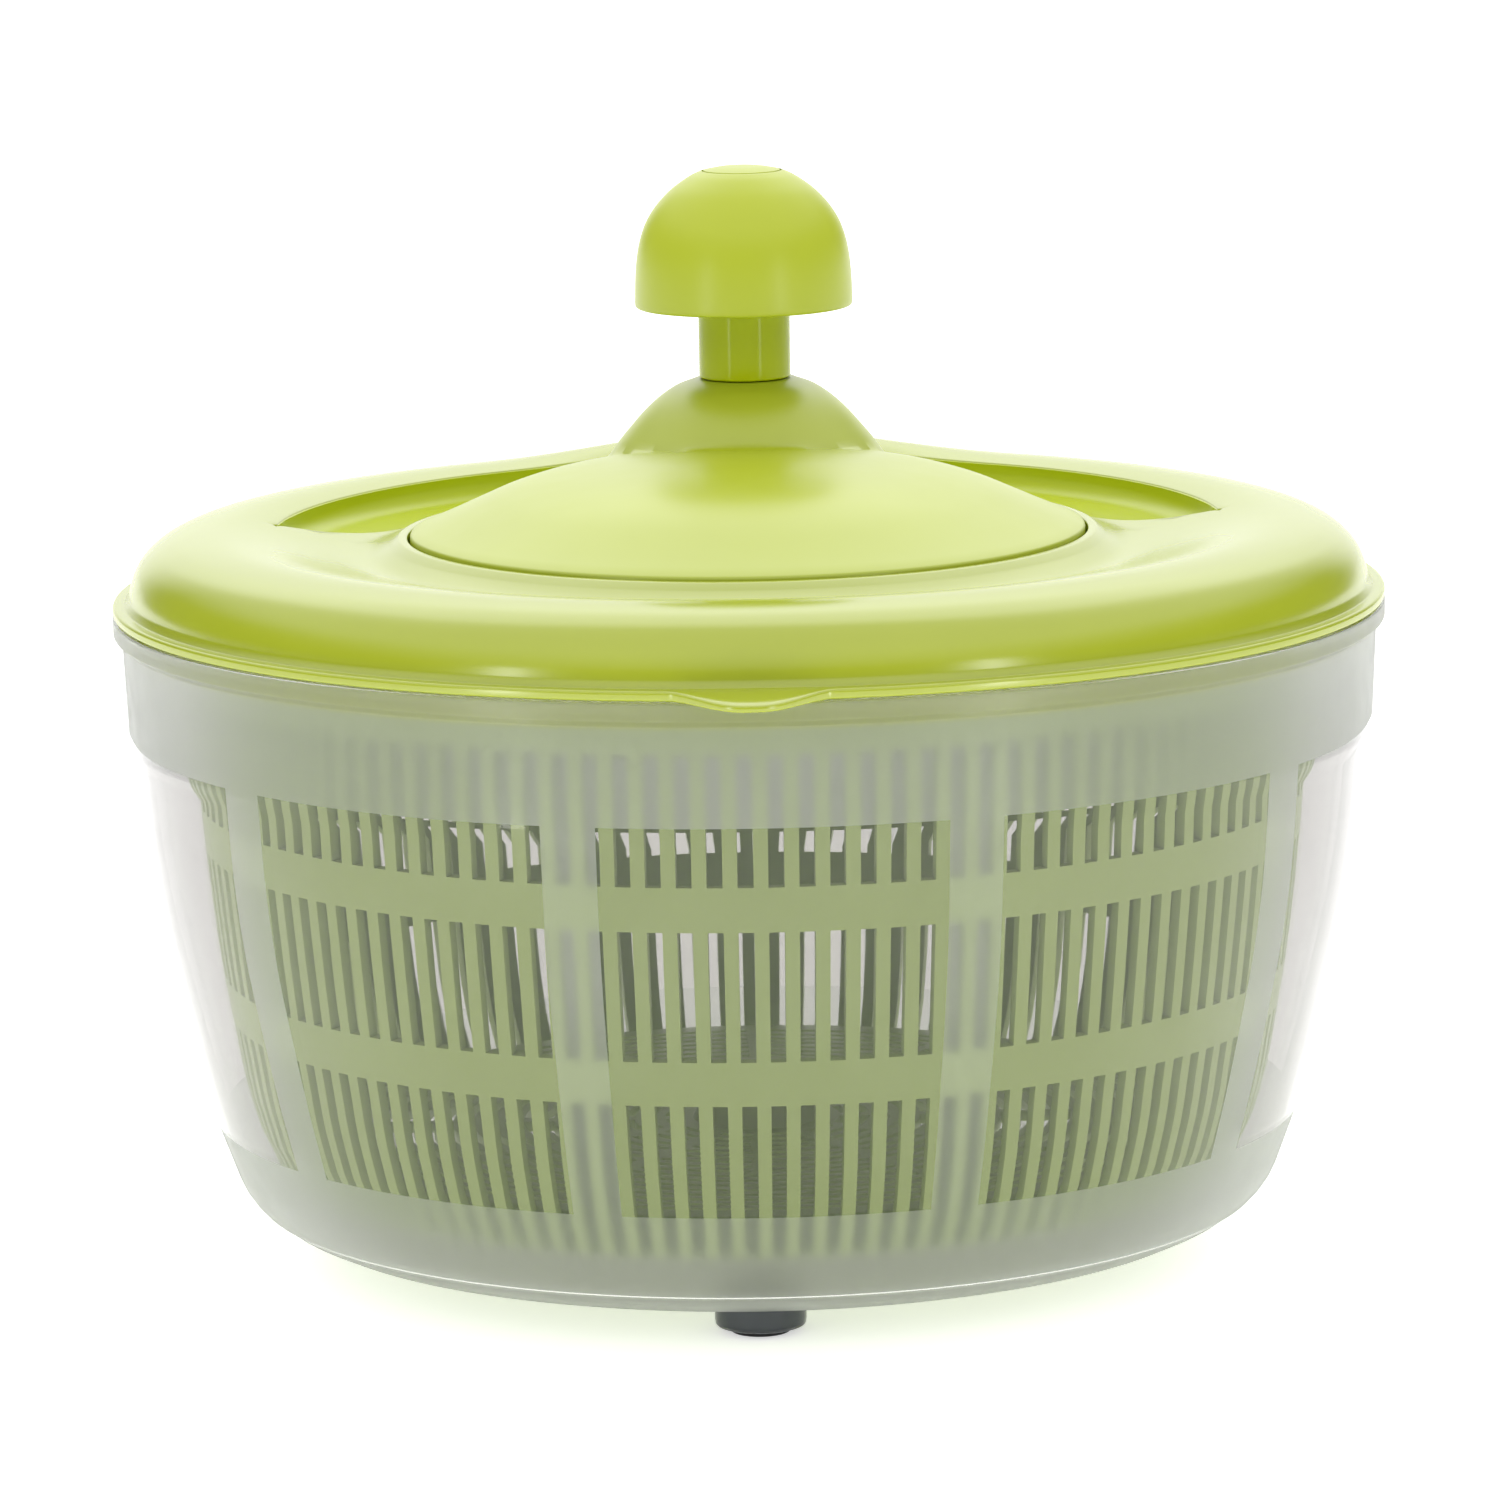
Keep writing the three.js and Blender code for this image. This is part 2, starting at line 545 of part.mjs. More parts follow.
function addLid() {
  addPart('lid_shell', lidBody(), FINISH.lid);
  const bore = SUN_HUB_RADIUS + FIT_GAP;
  const flangeLow = WELL_FLOOR_TOP + 0.1;
  const flangeTop = flangeLow + HUB_BUSH_FLANGE_THICKNESS;
  const bush = turned([
    [bore, HUB_BUSH_LOW], [HUB_BUSH_RADIUS, HUB_BUSH_LOW], [HUB_BUSH_RADIUS, flangeLow],
    [HUB_BUSH_FLANGE, flangeLow], [HUB_BUSH_FLANGE, flangeTop], [bore, flangeTop], [bore, HUB_BUSH_LOW],
  ], ROUND_SMALL);
  addPart('hub_bush', bush, FINISH.gear);
  spread(IDLER_COUNT, (index) => {
    addPart(`idler_gear_${index + 1}`, idlerBody(index), FINISH.gear);
    return addPart(`idler_pin_${index + 1}`, idlerPinBody(index), FINISH.steel);
  });
  addPart('sun_gear', sunGearBody(), FINISH.gear);
  addPart('drive_plate', drivePlateBody(), FINISH.basket);
  const washerTop = DRIVE_PLATE_LOW - FIT_GAP;
  const washer = tube(SUN_BORE, WASHER_RADIUS, washerTop - WASHER_THICKNESS, washerTop);
  addPart('drive_washer', washer, FINISH.steel);
}

// ---------------------------------------------------------------- crank

// Top of the crank disc: a shallow dome.
const DOME_TOP = [
  [DISC_RADIUS, SEAM_HEIGHT - 0.6], [DISC_RADIUS - 0.4, SEAM_HEIGHT], [60, 146.4], [52, 149.9],
  [40, 154.1], [30, 156.1], [16, 157.5], [0, 157.9],
];
// Top of the hill that carries the knob post, measured from the post's own axis.
const HILL_PROFILE = [
  [HILL_RADIUS, 143.6], [31, 148.2], [28.5, 152.5], [25, 156.9], [20.5, 161.8], [14.1, 166.7],
  [10.6, HILL_TOP],
];

function crankDiscBody() {
  const dome = turned([[0, CRANK_LOW], [DISC_RADIUS, CRANK_LOW], ...DOME_TOP]);
  const hill = turned([[0, CRANK_LOW], [HILL_RADIUS, CRANK_LOW], ...HILL_PROFILE, [0, HILL_TOP]], 24);
  const domeHollow = turned([
    [0, BELOW_LID], [CRANK_HOLLOW_RADIUS, BELOW_LID], [CRANK_HOLLOW_RADIUS, 143.4], [52, 147.7], [40, 152],
    [30, 154], [16, 155.4], [0, 155.8],
  ]);
  const hillHollow = turned([
    [0, BELOW_LID], [HILL_HOLLOW_RADIUS, BELOW_LID], [HILL_HOLLOW_RADIUS, 148.6], [25, 152.6], [22, 156.6],
    [18.6, 160.6], [13.4, 164.8], [0, 165.6],
  ], 24);
  const insideRim = cylinder(CRANK_HOLLOW_RADIUS, BELOW_LID, ABOVE_LID, ROUND);
  const skirtInner = RING_OUTER + 0.4;
  const skirt = tube(skirtInner, skirtInner + CRANK_SKIN, WELL_FLOOR_TOP + 0.4, CRANK_LOW + 1.5, ROUND);
  const boss = cylinder(CRANK_BOSS_RADIUS, GEAR_TOP + 1.2, CRANK_BOSS_TOP);
  const socketBore = POST_RADIUS - POST_SHOULDER;
  const socket = tube(socketBore + 0.1, POST_RADIUS + 0.6, SOCKET_LOW, SOCKET_TOP);
  const shell = cut(dome.add(moved(hill, 0, CRANK_ARM)), [
    domeHollow,
    moved(hillHollow, 0, CRANK_ARM).intersect(insideRim),
  ]);
  return cut(join([shell, skirt, boss, moved(socket, 0, CRANK_ARM)]), [
    cylinder(CENTRE_PIN_RADIUS + FIT_GAP, BELOW_LID, CENTRE_PIN_TOP + 0.5, 16),
    moved(cylinder(socketBore, 150, ABOVE_LID), 0, CRANK_ARM),
  ]);
}

function knobPostBody() {
  const foot = POST_RADIUS - POST_SHOULDER - FIT_GAP;
  const low = HILL_TOP + FIT_GAP;
  return moved(turned([
    [POST_BORE, POST_LOW], [foot, POST_LOW], [foot, low], [POST_RADIUS, low], [POST_RADIUS, POST_TOP],
    [SPIGOT_RADIUS, POST_TOP], [SPIGOT_RADIUS, SPIGOT_TOP], [POST_BORE, SPIGOT_TOP], [POST_BORE, POST_LOW],
  ], ROUND_SMALL), 0, CRANK_ARM);
}

// Outside of the knob above its lower lip, as radius and height over the lip.
const KNOB_PROFILE = [
  [21.5, 0], [KNOB_RADIUS, 0.8], [21.6, 3.5], [21.6, 9], [21.1, 11.7], [20.5, 14.1], [19.6, 16.6],
  [18.2, 19], [16.3, 21.4], [14.1, 23.8], [10.6, 26.1],
];

function knobBody() {
  const outside = KNOB_PROFILE.map(([radius, height]) => [radius, KNOB_LOW + height]);
  const bore = SPIGOT_RADIUS + 0.4;
  return moved(turned([
    [bore, KNOB_LOW], [9, KNOB_LOW], [9, KNOB_LOW + 12], [14, KNOB_LOW + 16], [18.6, KNOB_LOW + 11],
    [19.5, KNOB_LOW],
    ...outside,
    [CAP_RADIUS + FIT_GAP, KNOB_TOP - 0.9], [CAP_RADIUS + FIT_GAP, CAP_SEAT], [7.2, CAP_SEAT],
    [7.2, SPIGOT_TOP - FIT_GAP], [bore, SPIGOT_TOP - FIT_GAP], [bore, KNOB_LOW],
  ], 24), 0, CRANK_ARM);
}

function addCrank() {
  addPart('crank_disc', crankDiscBody(), FINISH.lid);
  addPart('ring_gear', ringGearBody(), FINISH.gear);
  const pin = cylinder(CENTRE_PIN_RADIUS, DRIVE_PLATE_LOW - CENTRE_PIN_BELOW, CENTRE_PIN_TOP, 16);
  addPart('centre_pin', pin, FINISH.steel);
  const ringTop = DRIVE_PLATE_LOW - WASHER_THICKNESS - 2 * FIT_GAP;
  const ring = tube(CENTRE_PIN_RADIUS + 0.1, CIRCLIP_RADIUS, ringTop - WASHER_THICKNESS, ringTop);
  addPart('pin_circlip', ring, FINISH.steel);
  addPart('knob_post', knobPostBody(), FINISH.gloss);
  const washerLow = SPIGOT_TOP + FIT_GAP;
  const washerTop = washerLow + SCREW_WASHER_THICKNESS;
  addPart('knob_washer', moved(tube(2.4, 6.9, washerLow, washerTop), 0, CRANK_ARM), FINISH.steel);
  const headLow = washerTop + FIT_GAP;
  const headTop = headLow + SCREW_HEAD_THICKNESS;
  const screw = turned([
    [0, SCREW_LOW], [SCREW_RADIUS, SCREW_LOW + 2], [SCREW_RADIUS, headLow], [SCREW_HEAD_RADIUS, headLow],
    [SCREW_HEAD_RADIUS, headTop], [2.6, headTop + 1], [0, headTop + 1],
  ], 16);
  addPart('knob_screw', moved(screw, 0, CRANK_ARM), FINISH.steel);
  addPart('knob', knobBody(), FINISH.knob);
  const cap = turned([
    [0, CAP_LOW], [CAP_RADIUS, CAP_LOW], [CAP_RADIUS, KNOB_TOP - 0.8], [4, KNOB_TOP - 0.2],
    [0, KNOB_TOP],
  ]);
  addPart('knob_cap', moved(cap, 0, CRANK_ARM), FINISH.knob);
}

// ---------------------------------------------------------------- assembly

addBowl();
addBasket();
addLid();
addCrank();

// The thumb tab makes the box reach further to the front, so the spin axis stands behind the box's centre.
spinner.position.y = TAB_REACH / 2;

const object = new THREE.Group();
object.add(spinner);

export default object;
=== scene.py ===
"""Looks of a crank-operated salad spinner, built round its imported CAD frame.

Shapes are written in millimetres round the spin axis, with heights over the surface that the feet stand on,
and turned into metres in the row frame when a mesh is made.
"""

import math

import bmesh
import bpy
import numpy as np
from mathutils import Euler, Matrix, Vector


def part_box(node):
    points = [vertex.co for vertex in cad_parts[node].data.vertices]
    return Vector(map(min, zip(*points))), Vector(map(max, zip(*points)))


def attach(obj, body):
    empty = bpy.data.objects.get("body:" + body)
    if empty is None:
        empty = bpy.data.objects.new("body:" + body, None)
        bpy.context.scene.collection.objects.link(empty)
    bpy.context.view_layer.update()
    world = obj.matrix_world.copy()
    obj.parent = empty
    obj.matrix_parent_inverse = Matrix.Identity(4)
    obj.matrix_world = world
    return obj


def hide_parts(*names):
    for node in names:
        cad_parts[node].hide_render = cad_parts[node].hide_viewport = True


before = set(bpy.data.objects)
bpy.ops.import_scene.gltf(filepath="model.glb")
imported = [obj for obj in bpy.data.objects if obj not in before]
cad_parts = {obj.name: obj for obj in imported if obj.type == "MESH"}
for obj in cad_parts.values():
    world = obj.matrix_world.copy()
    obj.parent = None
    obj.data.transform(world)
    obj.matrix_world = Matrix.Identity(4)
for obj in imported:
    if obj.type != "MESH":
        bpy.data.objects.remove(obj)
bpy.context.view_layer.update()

MM = 0.001
AXIS_Y = sum(corner.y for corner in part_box("centre_pin")) / 2
KNOB_Y = sum(corner.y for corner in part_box("knob")) / 2
CRANK_ARM = (KNOB_Y - AXIS_Y) / MM


def low(node):
    """Height of a CAD node's lowest point, in millimetres."""
    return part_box(node)[0].z / MM


def high(node):
    """Height of a CAD node's highest point, in millimetres."""
    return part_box(node)[1].z / MM


def radius(node):
    """Half the width of a round CAD node, in millimetres."""
    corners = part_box(node)
    return (corners[1].x - corners[0].x) / 2 / MM


# ------------------------------------------------------------------ outlines and meshes

ARC_STEP = math.radians(12)
SHARP = math.radians(38)
WELD = 2e-6


def unit(vector):
    return vector / np.linalg.norm(vector)


def smoothstep(x):
    x = np.clip(x, 0, 1)
    return x * x * (3 - 2 * x)


def rounded(points):
    """Outline through (radius, height) or (radius, height, fillet) points, with an arc for each fillet."""
    corners = [np.array(point[:2], float) for point in points]
    path = []
    for i, point in enumerate(points):
        fillet = point[2] if len(point) > 2 else 0
        if fillet == 0:
            path.append(corners[i])
            continue
        back = unit(corners[i - 1] - corners[i])
        ahead = unit(corners[i + 1] - corners[i])
        half = math.acos(np.clip(back @ ahead, -1, 1)) / 2
        centre = corners[i] + unit(back + ahead) * fillet / math.sin(half)
        start = corners[i] + back * fillet / math.tan(half) - centre
        end = corners[i] + ahead * fillet / math.tan(half) - centre
        turn = math.pi - 2 * half
        steps = max(2, math.ceil(turn / ARC_STEP))
        for t in np.linspace(0, 1, steps + 1):
            swing = math.sin((1 - t) * turn) * start + math.sin(t * turn) * end
            path.append(centre + swing / math.sin(turn))
    return np.array(path)


def curve(points, steps=6):
    """Smooth outline through points (Catmull-Rom), with that many steps between one point and the next."""
    p = np.array(points, float)
    p = np.vstack([2 * p[0] - p[1], p, 2 * p[-1] - p[-2]])
    path = []
    for i in range(1, len(p) - 2):
        for t in np.arange(steps) / steps:
            path.append(0.5 * (2 * p[i] + (p[i + 1] - p[i - 1]) * t
                               + (2 * p[i - 1] - 5 * p[i] + 4 * p[i + 1] - p[i + 2]) * t ** 2
                               + (3 * p[i] - p[i - 1] - 3 * p[i + 1] + p[i + 2]) * t ** 3))
    path.append(p[-2])
    return np.array(path)


def build(name, points, faces, materials, which=None, sharp=SHARP):
    """An object from points in millimetres round the spin axis. which picks each face's material."""
    place = np.array(points, float) * MM
    place[:, 1] += AXIS_Y
    mesh = bpy.data.meshes.new(name)
    mesh.from_pydata(place.tolist(), [], faces)
    for material in materials:
        mesh.materials.append(material)
    if which is not None:
        mesh.polygons.foreach_set("material_index", np.array(which, np.int32))
    piece = bpy.data.objects.new(name, mesh)
    bpy.context.scene.collection.objects.link(piece)
    weld(mesh)
    mesh.shade_smooth()
    mesh.set_sharp_from_angle(angle=sharp)
    return piece


def weld(mesh):
    """Joins the points that lie on each other, such as those of a ring on the axis."""
    work = bmesh.new()
    work.from_mesh(mesh)
    bmesh.ops.remove_doubles(work, verts=work.verts, dist=WELD)
    bmesh.ops.dissolve_degenerate(work, edges=work.edges, dist=WELD / 2)
    work.to_mesh(mesh)
    work.free()


def ring_faces(columns, rows, closed):
    """Faces of a grid that runs round the axis: points are stored column by column."""
    faces = []
    for i in range(columns):
        ahead = (i + 1) % columns
        for k in range(rows if closed else rows - 1):
            up = (k + 1) % rows
            faces.append((i * rows + k, ahead * rows + k, ahead * rows + up, i * rows + up))
    return faces


def round_points(angles, paths):
    """Points of one outline for each angle. paths is (columns, rows, 2) or one outline for them all."""
    paths = np.broadcast_to(paths, (len(angles), *np.shape(paths)[-2:]))
    x = paths[..., 0] * np.cos(angles)[:, None]
    y = paths[..., 0] * np.sin(angles)[:, None]
    return np.stack([x, y, paths[..., 1]], -1).reshape(-1, 3)


def turned(name, outline, material, sides=160, arm=0.0, closed=False):
    """A turned solid on the spin axis, or on the knob's axis at the end of the arm."""
    angles = np.arange(sides) * 2 * math.pi / sides
    points = round_points(angles, outline)
    points[:, 1] += arm
    return build(name, points, ring_faces(sides, len(outline), closed), [material])


# ------------------------------------------------------------------ materials


def srgb(red, green, blue):
    """A colour from its usual 0-255 values to the linear values that shaders take."""
    shares = [value / 255 for value in (red, green, blue)]
    linear = [c / 12.92 if c <= 0.04045 else ((c + 0.055) / 1.055) ** 2.4 for c in shares]
    return (*linear, 1.0)


class Nodes:
    """A material's node tree, with short calls for the nodes used here."""

    def __init__(self, name):
        self.material = bpy.data.materials.new(name)
        self.material.use_nodes = True
        self.tree = self.material.node_tree
        self.shader = self.tree.nodes["Principled BSDF"]
        self.output = self.tree.nodes["Material Output"]
        self.where = self.tree.nodes.new("ShaderNodeTexCoord").outputs["Object"]

    def noise(self, scale, detail=2.0, roughness=0.5):
        node = self.tree.nodes.new("ShaderNodeTexNoise")
        node.inputs["Scale"].default_value = scale
        node.inputs["Detail"].default_value = detail
        node.inputs["Roughness"].default_value = roughness
        self.tree.links.new(self.where, node.inputs["Vector"])
        return node.outputs["Fac"]

    def spread(self, value, least, most, start=0.3, end=0.7):
        """Maps a pattern's start-end range to least-most."""
        node = self.tree.nodes.new("ShaderNodeMapRange")
        node.inputs["From Min"].default_value = start
        node.inputs["From Max"].default_value = end
        node.inputs["To Min"].default_value = least
        node.inputs["To Max"].default_value = most
        self.tree.links.new(value, node.inputs["Value"])
        return node.outputs["Result"]

    def blend(self, factor, first, second):
        node = self.tree.nodes.new("ShaderNodeMix")
        node.data_type = "RGBA"
        self.tree.links.new(factor, node.inputs["Factor"])
        node.inputs["A"].default_value = first
        node.inputs["B"].default_value = second
        return node.outputs["Result"]

    def mottle(self, scale, detail, first, second):
        """Base colour that drifts between two close colours in patches."""
        patches = self.spread(self.noise(scale, detail), 0, 1)
        self.feed(self.blend(patches, first, second), "Base Color")

    def bump(self, height, strength, distance):
        node = self.tree.nodes.new("ShaderNodeBump")
        node.inputs["Strength"].default_value = strength
        node.inputs["Distance"].default_value = distance
        self.tree.links.new(height, node.inputs["Height"])
        self.tree.links.new(node.outputs["Normal"], self.shader.inputs["Normal"])

    def feed(self, source, socket):
        self.tree.links.new(source, self.shader.inputs[socket])

    def fix(self, **values):
        for socket, value in values.items():
            self.shader.inputs[socket.replace("_", " ")].default_value = value


def moulded(name, colour, shade, roughness, grain=0.0, grain_scale=1500, **fixed):
    """Moulded plastic: faint clouds between two colours, uneven gloss, and a fine grain if it has one."""
    nodes = Nodes(name)
    nodes.mottle(38, 3, colour, shade)
    patches = nodes.noise(140, 3)
    nodes.feed(nodes.spread(patches, roughness * 0.97, roughness * 1.03), "Roughness")
    if grain:
        nodes.bump(nodes.noise(grain_scale, 2), grain, 0.00012)
    nodes.fix(**fixed)
    return nodes.material


def let_lamps_in(nodes, tint):
    """Lets lamps light what lies behind glass, dimmed by the tint, instead of leaving it in shadow."""
    path = nodes.tree.nodes.new("ShaderNodeLightPath")
    through = nodes.tree.nodes.new("ShaderNodeBsdfTransparent")
    through.inputs["Color"].default_value = tint
    mix = nodes.tree.nodes.new("ShaderNodeMixShader")
    nodes.tree.links.new(path.outputs["Is Shadow Ray"], mix.inputs["Fac"])
    nodes.tree.links.new(nodes.shader.outputs["BSDF"], mix.inputs[1])
    nodes.tree.links.new(through.outputs["BSDF"], mix.inputs[2])
    nodes.tree.links.new(mix.outputs["Shader"], nodes.output.inputs["Surface"])


def clear_plastic(name):
    """Polished clear plastic with a trace of the unevenness of its mould."""
    nodes = Nodes(name)
    nodes.mottle(30, 2, (0.58, 0.57, 0.555, 1), (0.57, 0.56, 0.545, 1))
    nodes.feed(nodes.spread(nodes.noise(90, 2), 0.01, 0.03), "Roughness")
    nodes.bump(nodes.noise(45, 1), 0.03, 0.0004)
    nodes.fix(Transmission_Weight=1.0, IOR=1.45)
    let_lamps_in(nodes, (0.92, 0.92, 0.91, 1))
    return nodes.material


def frosted_plastic(name):
    """The same plastic where the mould is finely etched: it blurs and whitens what is behind it."""
    nodes = Nodes(name)
    nodes.mottle(60, 3, (0.62, 0.635, 0.61, 1), (0.605, 0.62, 0.595, 1))
    nodes.feed(nodes.spread(nodes.noise(160, 2), 0.33, 0.38), "Roughness")
    nodes.bump(nodes.noise(1300, 2), 0.06, 0.0002)
    nodes.fix(Transmission_Weight=0.85, IOR=1.45)
    let_lamps_in(nodes, (0.6, 0.61, 0.59, 1))
    return nodes.material


def steel(name):
    """Bright steel with a fine uneven polish."""
    nodes = Nodes(name)
    nodes.mottle(400, 4, (0.62, 0.63, 0.65, 1), (0.5, 0.51, 0.53, 1))
    nodes.feed(nodes.spread(nodes.noise(900, 3), 0.22, 0.36), "Roughness")
    nodes.bump(nodes.noise(2500, 2), 0.08, 0.0001)
    nodes.fix(Metallic=1.0)
    return nodes.material


SATIN = 0.012  # depth of the lid's and disc's grain
SATIN_SCALE = 2600

LID = moulded("lid_plastic", srgb(167, 179, 32), srgb(165, 177, 29), 0.22, SATIN, SATIN_SCALE,
              Specular_IOR_Level=1.0)
DISC = moulded("disc_plastic", srgb(182, 195, 44), srgb(179, 192, 40), 0.34, SATIN, SATIN_SCALE,
               Specular_IOR_Level=0.9)
KNOB = moulded("knob_plastic", srgb(188, 200, 52), srgb(185, 197, 48), 0.34, 0.02, SATIN_SCALE)
POCKET = moulded("lid_pocket", srgb(184, 198, 20), srgb(180, 194, 16), 0.22, Specular_IOR_Level=0.2)
GLOSS = moulded("post_gloss", srgb(184, 197, 8), srgb(180, 193, 6), 0.12, Specular_IOR_Level=0.14)
BASKET = moulded("basket_plastic", srgb(172, 190, 118), srgb(168, 186, 111), 0.30, 0.03, 500)
CLEAR = clear_plastic("bowl_clear")
FROSTED = frosted_plastic("bowl_frosted")
GEAR = moulded("gear_plastic", srgb(231, 229, 219), srgb(222, 220, 209), 0.42, 0.05, 900)
STEEL = steel("steel")
PLUG = moulded("foot_grey", srgb(78, 88, 98), srgb(70, 80, 90), 0.35, 0.05, 900)
RUBBER = moulded("pad_rubber", srgb(24, 25, 27), srgb(18, 19, 20), 0.75, 0.3, 1200)


def place(piece, body, slot, *nodes):
    """Puts a finished piece on its CAD body, in the place of its CAD nodes. The slot argument is not used.
    """
    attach(piece, body)
    if nodes:
        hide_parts(*nodes)
    return piece


# ------------------------------------------------------------------ bowl

WINDOWS = 10
WINDOW_ANGLE = math.radians(31)
WINDOW_TURN = math.radians(-88.2)  # middle of the front window
WINDOW_LOW = 29.6
WINDOW_HIGH = 105.8
BOWL_WALL = 2
BOWL_FLOOR = 2.2
BOWL_LOW = 6.3
POLISHED_FLOOR = 82  # radius within which the bowl's floor is clear
LIP_TOP = 129.6

BOWL_SIDE = [  # outside of the bowl over the height of its windows
    (107.9, WINDOW_LOW), (111.6, 43), (115.2, 58), (118.2, 72), (120.4, 87), (121.9, WINDOW_HIGH),
]


def window_columns(steps_wide=22, steps_strip=4):
    """Angles of the bowl's columns, so that the edge of every window falls on one, and which are clear."""
    pitch = 2 * math.pi / WINDOWS
    angles, clear = [], []
    for window in range(WINDOWS):
        start = WINDOW_TURN - WINDOW_ANGLE / 2 + window * pitch
        end = start + WINDOW_ANGLE
        angles += [start + WINDOW_ANGLE * t / steps_wide for t in range(steps_wide)]
        angles += [end + (pitch - WINDOW_ANGLE) * t / steps_strip for t in range(steps_strip)]
        clear += [True] * steps_wide + [False] * steps_strip
    return np.array(angles), clear


def make_bowl():
    rim = radius("bowl")
    boss_top = 14
    boss = 9
    pin_hole = 3.8
    floor_top = BOWL_LOW + BOWL_FLOOR
    underside = rounded([(0, BOWL_LOW), (POLISHED_FLOOR, BOWL_LOW), (92.5, BOWL_LOW, 26), (102.2, 14.5, 14),
                         (107.3, 28.4)])
    side = curve(BOWL_SIDE, 5)
    band = rounded([(122.5, 106.9), (123.3, 124.9, 0.8), (rim, 126.1, 0.5), (rim, LIP_TOP, 0.5),
                    (121.4, LIP_TOP, 0.5), (120.7, 120), (119.95, WINDOW_HIGH)])
    inside = curve([(119.95, WINDOW_HIGH)] + [(r - BOWL_WALL, z) for r, z in BOWL_SIDE[-2::-1]], 5)[1:]
    floor = rounded([(103.6, 25), (99, 13.5, 12), (91, floor_top, 22), (boss, floor_top, 1),
                     (boss - 1, boss_top, 0.6), (pin_hole, boss_top), (pin_hole, floor_top),
                     (0, floor_top)])
    outline = np.vstack([underside, side, band, inside, floor])
    angles, clear = window_columns()
    rows = len(outline)
    first_side = len(underside) - 1
    last_side = first_side + len(side)
    outside = last_side + int(np.argmax(band[:, 1] >= band[:, 1].max() - 0.2))
    which = []
    for i in range(len(angles)):
        for k in range(rows - 1):
            polished = outline[k + 1, 0] <= POLISHED_FLOOR
            window = clear[i] and first_side < k < last_side
            which.append(0 if polished or window or k > outside else 1)
    points = round_points(angles, outline)
    bowl = build("bowl_moulding", points, ring_faces(len(angles), rows, False), [CLEAR, FROSTED], which)
    bowl.visible_diffuse = False
    place(bowl, "bowl", "bowl_plastic", "bowl")


SLEEVE_WALL = 2.1
SLEEVE_LOW = 1.3
SLEEVE_GRIP = 0.2  # how far the clear sleeve reaches into the plug, so that it shows the plug through


def make_feet():
    for index in (1, 2, 3):
        pad, plug = f"foot_pad_{index}", f"foot_plug_{index}"
        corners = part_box(plug)
        middle = (corners[0] + corners[1]) / 2
        at = Vector((middle.x, middle.y - AXIS_Y, 0)) / MM
        grip = radius(pad)
        body = radius(plug)
        sleeve = body + SLEEVE_WALL
        shapes = [
            (f"foot_pad_{index}_rubber", [(0, 0), (grip, 0, 0.5), (grip, high(pad), 0.2), (0, high(pad))],
             RUBBER, "pad_rubber", (pad,)),
            (f"foot_plug_{index}_grey", [(0, low(plug)), (body, low(plug), 0.6), (body, high(plug), 0.2),
                                         (0, high(plug))], PLUG, "foot_grey", (plug,)),
        ]
        for name, outline, material, slot, nodes in shapes:
            piece = turned(name, rounded(outline), material, 64)
            piece.data.transform(Matrix.Translation(at * MM))
            place(piece, "bowl", slot, *nodes)
        hole = body - SLEEVE_GRIP
        sleeve_top = BOWL_LOW - 0.05
        ring = rounded([(hole, SLEEVE_LOW), (sleeve - 0.2, SLEEVE_LOW, 0.6), (sleeve, 2.6, 1),
                        (sleeve, sleeve_top), (hole, sleeve_top), (hole, SLEEVE_LOW)])[:-1]
        piece = turned(f"foot_sleeve_{index}", ring, CLEAR, 64, closed=True)
        piece.data.transform(Matrix.Translation(at * MM))
        place(piece, "bowl", "bowl_plastic")


# ------------------------------------------------------------------ basket

RIBS = 120
RIB_SHARE = 0.48  # of each pitch that is rib, the rest being slot
SLOT_ROWS = [(18.0, 50.4), (59.0, 84.0), (92.5, 118.0)]
FLOOR_MIDDLE = 24.5
FLOOR_FIRST = 16.5  # radius of the first ring of floor slits
FLOOR_PITCH = 4.0
FLOOR_SLIT = 1.9
FLOOR_RINGS = 17
SPOKES = 12
BASKET_WALL = 2.0

BASKET_SIDE = [  # middle of the basket's wall
    (98.2, 29), (100.7, 38), (102.3, 47), (104.5, 60), (106.6, 78), (107.9, 93), (109, 118), (109.3, 127),
]


WALL_HEIGHTS = (29, 33, 37, 41, 45.5, 54.5, 64, 69, 74, 79, 88, 97.5, 102.5, 107.5, 112.5, 121, 124, 127)
FOOT_STEP = 91.5  # radius of the basket's foot ring, outside which its slots begin


